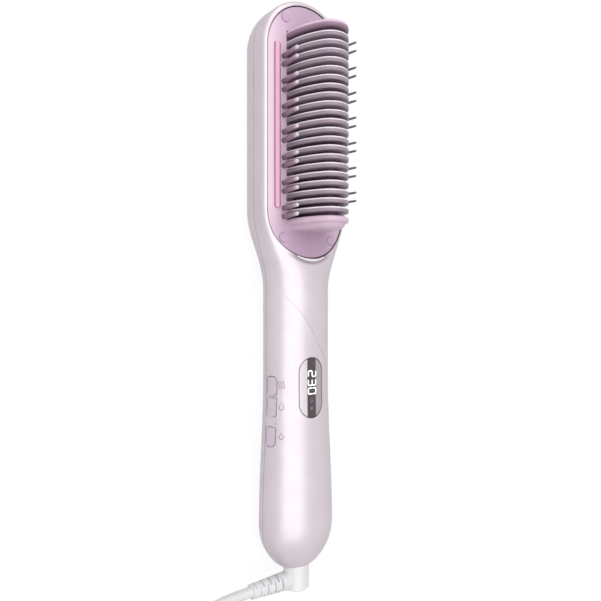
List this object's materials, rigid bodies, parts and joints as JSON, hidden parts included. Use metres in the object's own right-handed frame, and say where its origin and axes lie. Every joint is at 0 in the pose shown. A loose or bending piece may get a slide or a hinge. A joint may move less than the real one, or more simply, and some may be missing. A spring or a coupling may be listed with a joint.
{
  "type": "steam hair straightener brush",
  "caption": "Hand-held steam straightening brush with heated comb, steam outlet bar, digital display, side keys and a swivel mains lead.",
  "frame": {"origin": "on the surface the brush lies on, below the middle of its length without the lead", "axes": "+X towards the brush's right, +Y from the lead's end towards the tip of the head, +Z towards the comb"},
  "size_m": [0.1019, 0.4022, 0.0496],
  "materials": {
    "pearl_shell": "pearl lacquer on moulded plastic",
    "pink_plastic": "satin moulded plastic",
    "mauve_plastic": "satin moulded heat-resistant plastic",
    "dark_coating": "ceramic coating on aluminium",
    "ceramic": "fired ceramic and mica",
    "grey_nylon": "nylon",
    "screw_steel": "zinc plated",
    "rose_plastic": "glossy tinted plastic",
    "heat_plastic": "glass-filled plastic",
    "silicone": "soft silicone",
    "cast_alloy": "die cast",
    "clear_tank": "clear moulded plastic",
    "pump_black": "moulded",
    "display_glass": "glossy printed window",
    "digit_light": "lit white segments",
    "board_green": "solder mask",
    "acetal": "acetal",
    "wire_red": "insulated wire",
    "key_plastic": "pearl lacquer on moulded plastic",
    "white_plastic": "moulded",
    "white_rubber": "soft PVC",
    "brass": "turned",
    "plated_pin": "nickel plated"
  },
  "bodies": {
    "housing": {"rear_shell": "pearl_shell", "front_shell": "pearl_shell", "comb_base": "pink_plastic", "comb_end_top": "pink_plastic", "comb_end_bottom": "pink_plastic", "comb_fins": "mauve_plastic", "heater_core": "dark_coating", "ptc_heater": "ceramic", "guard_pegs": "pink_plastic", "bristles": "grey_nylon", "screw_caps": "pink_plastic", "base_screws": "screw_steel", "steam_bar": "rose_plastic", "steam_manifold": "heat_plastic", "steam_nipple": "silicone", "heater_tray": "heat_plastic", "boiler": "cast_alloy", "insulation_sheet": "ceramic", "water_tank": "clear_tank", "fill_seal": "silicone", "pump": "pump_black", "suction_tube": "silicone", "feed_tube": "silicone", "thermal_fuse": "screw_steel", "ntc_sensor": "ceramic", "display_lens": "display_glass", "display_holder": "heat_plastic", "display_module": "pump_black", "display_digits": "digit_light", "display_board": "board_green", "main_board": "board_green", "board_parts": "pump_black", "button_board": "board_green", "tact_switches": "pump_black", "swivel_collar": "acetal", "contact_block": "heat_plastic", "mains_wires": "wire_red", "heater_wires": "wire_red"},
    "heat_key": {"heat_button": "key_plastic", "heat_stem": "pump_black"},
    "mist_key": {"mist_button": "key_plastic", "mist_stem": "pump_black"},
    "power_key": {"power_button": "key_plastic", "power_stem": "pump_black"},
    "filler": {"fill_plug": "silicone"},
    "swivel": {"swivel_elbow": "white_plastic", "slip_rings": "brass", "strain_relief": "white_rubber", "power_cord": "white_rubber", "cord_coil": "white_rubber", "cord_tail": "white_rubber", "plug_body": "white_rubber", "plug_pins": "plated_pin"}
  },
  "joints": [
    {"name": "heat_key_press", "type": "slide", "parent": "housing", "child": "heat_key", "axis": [1, 0, 0], "range_m": [0, 0.0005], "stiffness_N_per_m": 2500},
    {"name": "mist_key_press", "type": "slide", "parent": "housing", "child": "mist_key", "axis": [1, 0, 0], "range_m": [0, 0.0005], "stiffness_N_per_m": 2500},
    {"name": "power_key_press", "type": "slide", "parent": "housing", "child": "power_key", "axis": [1, 0, 0], "range_m": [0, 0.0005], "stiffness_N_per_m": 2500},
    {"name": "fill_plug_pull", "type": "slide", "parent": "housing", "child": "filler", "axis": [0, 0, -1], "range_m": [0, 0.008]},
    {"name": "cord_swivel", "type": "hinge", "parent": "housing", "child": "swivel", "pos_m": [0, -0.14, 0.0151], "axis": [0, 1, 0], "continuous": true}
  ]
}
